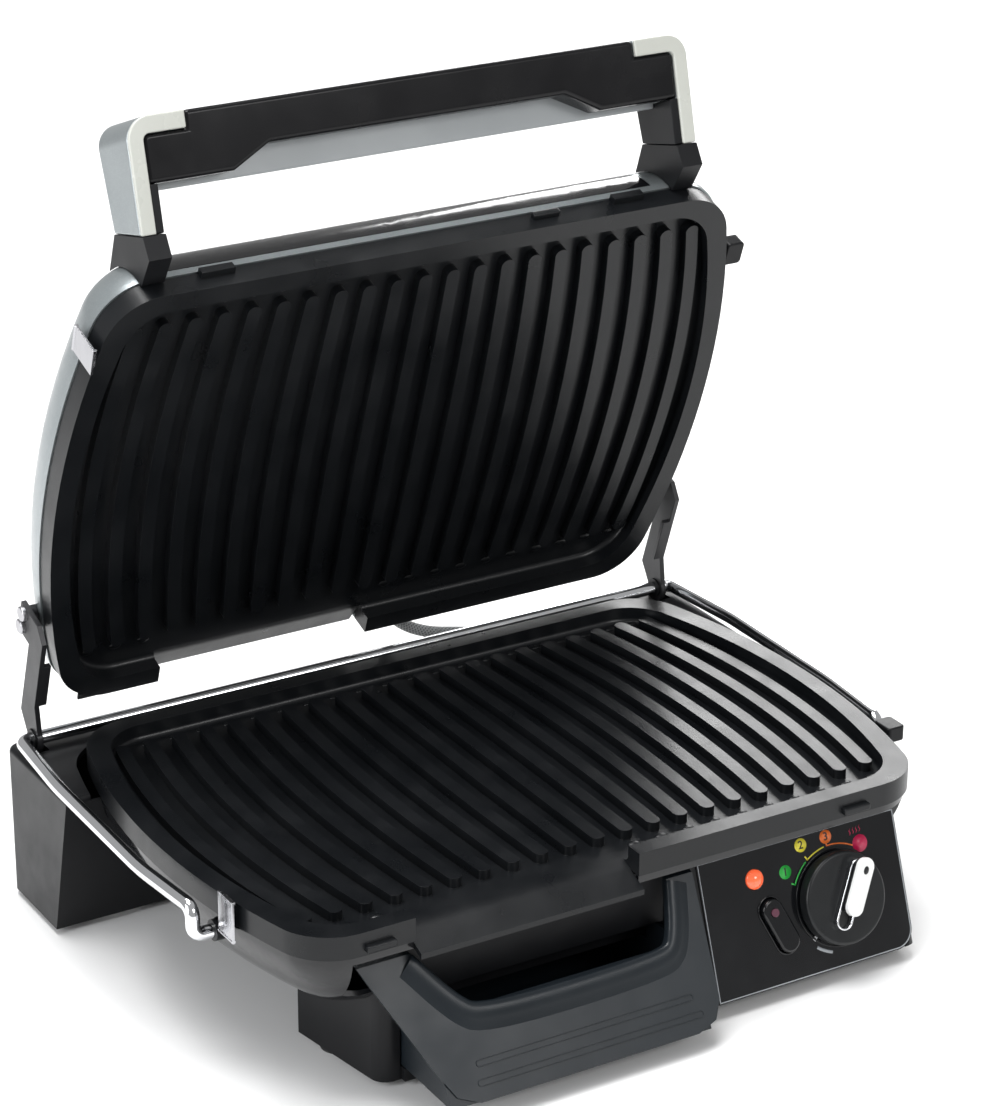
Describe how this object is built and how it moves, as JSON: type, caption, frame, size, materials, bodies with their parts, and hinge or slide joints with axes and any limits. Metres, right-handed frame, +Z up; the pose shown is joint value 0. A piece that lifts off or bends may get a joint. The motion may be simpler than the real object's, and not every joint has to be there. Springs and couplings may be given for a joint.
{
  "type": "contact grill",
  "caption": "Contact grill with ribbed barrel-shaped plates, a handled lid floating on a chrome bail, a drip tray and a dial.",
  "frame": {"origin": "on the table under the middle of the whole grill with its lid open as modelled", "axes": "+X to the right of someone facing the controls, +Y to the back, +Z up"},
  "size_m": [0.37, 0.3104, 0.3853],
  "materials": {
    "gloss_black": "polished",
    "matte_black": "fine texture",
    "tray_grey": "satin",
    "dial_black": "satin",
    "grip_black": "soft satin",
    "pale_grey": "satin",
    "warm_white": "satin",
    "silver_paint": "fine metallic paint",
    "black_steel": "black coated",
    "nonstick": "cast, black non-stick coating",
    "chrome_rod": "polished",
    "spring_steel": "bright",
    "steel": "zinc plated",
    "bright_sheet": "bright",
    "element": "heat stained",
    "ceramic": "glazed",
    "lamp_red": "translucent",
    "lamp_smoke": "smoked",
    "rubber_foot": "matte",
    "sleeve_grey": "braided"
  },
  "bodies": {
    "base": {"lower_casing": "gloss_black", "rear_stand": "matte_black", "base_housing": "matte_black", "bottom_cover": "matte_black", "bottom_screws": "steel", "feet": "rubber_foot", "control_fascia": "gloss_black", "lamp_lens": "lamp_red", "lamp_body": "matte_black", "switch_frame": "matte_black", "thermostat": "steel", "rod_sockets": "matte_black", "lower_heater": "element", "lower_reflector": "bright_sheet", "lower_thermal_fuse": "ceramic", "terminal_block": "ceramic", "cord_gland": "rubber_foot", "lead_lower": "sleeve_grey"},
    "bail": {"bail_rod": "chrome_rod"},
    "lid": {"lid_shell": "silver_paint", "lid_front_cover": "gloss_black", "lid_frame": "matte_black", "upper_heater": "element", "upper_reflector": "bright_sheet", "upper_thermal_fuse": "ceramic", "hinge_bushes": "matte_black", "left_hinge_bracket": "black_steel", "right_hinge_bracket": "black_steel", "bracket_screws": "steel", "handle_covers": "silver_paint", "handle_trims": "warm_white", "handle_liners": "matte_black", "handle_feet": "matte_black", "handle_screws": "steel", "handle_grip": "grip_black", "grip_rear_cover": "pale_grey", "lead_upper": "sleeve_grey"},
    "tray": {"drip_tray": "tray_grey"},
    "dial_knob": {"dial": "dial_black", "dial_pointer": "chrome_rod", "dial_shaft": "steel"},
    "switch_button": {"switch_rocker": "gloss_black", "switch_lamp": "lamp_smoke"},
    "lower_griddle": {"lower_plate": "nonstick"},
    "upper_griddle": {"upper_plate": "nonstick"},
    "lower_clip_body": {"lower_clip": "spring_steel"},
    "upper_clip_body": {"upper_clip": "spring_steel"},
    "lower_tab_body": {"lower_release_tab": "matte_black"},
    "upper_tab_body": {"upper_release_tab": "matte_black"}
  },
  "joints": [
    {"name": "bail_lift", "type": "hinge", "parent": "base", "child": "bail", "pos_m": [0, -0.05826, 0.066], "axis": [1, 0, 0], "range_deg": [0, 8], "deforming": ["lead_lower"]},
    {"name": "lid_swing", "type": "hinge", "parent": "bail", "child": "lid", "pos_m": [0, 0.11843, 0.081], "axis": [-1, 0, 0], "range_deg": [-70.7, 39.3], "deforming": ["lead_upper"]},
    {"name": "tray_slide", "type": "slide", "parent": "base", "child": "tray", "axis": [0, -1, 0], "range_m": [0, 0.12]},
    {"name": "dial_turn", "type": "hinge", "parent": "base", "child": "dial_knob", "pos_m": [0.108, -0.12632, 0.03737], "axis": [0, -0.9397, 0.342], "range_deg": [-9, 163]},
    {"name": "switch_press", "type": "slide", "parent": "base", "child": "switch_button", "axis": [0, 0.9397, -0.342], "range_m": [0, 0.0025], "stiffness_N_per_m": 400},
    {"name": "lower_plate_lift", "type": "slide", "parent": "base", "child": "lower_griddle", "axis": [0, -0.3, 0.9539], "range_m": [0, 0.05]},
    {"name": "upper_plate_lift", "type": "slide", "parent": "lid", "child": "upper_griddle", "axis": [0, -0.9995, -0.0322], "range_m": [0, 0.05]},
    {"name": "lower_tab_slide", "type": "slide", "parent": "base", "child": "lower_tab_body", "axis": [0, 1, 0], "range_m": [0, 0.004], "stiffness_N_per_m": 300},
    {"name": "upper_tab_slide", "type": "slide", "parent": "lid", "child": "upper_tab_body", "axis": [0, 0.3305, -0.9438], "range_m": [0, 0.004], "stiffness_N_per_m": 300},
    {"name": "lower_clip_swing", "type": "hinge", "parent": "base", "child": "lower_clip_body", "pos_m": [-0.16864, -0.07176, 0.07], "axis": [0, -1, 0], "range_deg": [0, 12], "stiffness_Nm_per_rad": 0.3},
    {"name": "upper_clip_swing", "type": "hinge", "parent": "lid", "child": "upper_clip_body", "pos_m": [-0.16393, 0.06805, 0.29084], "axis": [0, 0.3305, -0.9438], "range_deg": [0, 12], "stiffness_Nm_per_rad": 0.3}
  ]
}
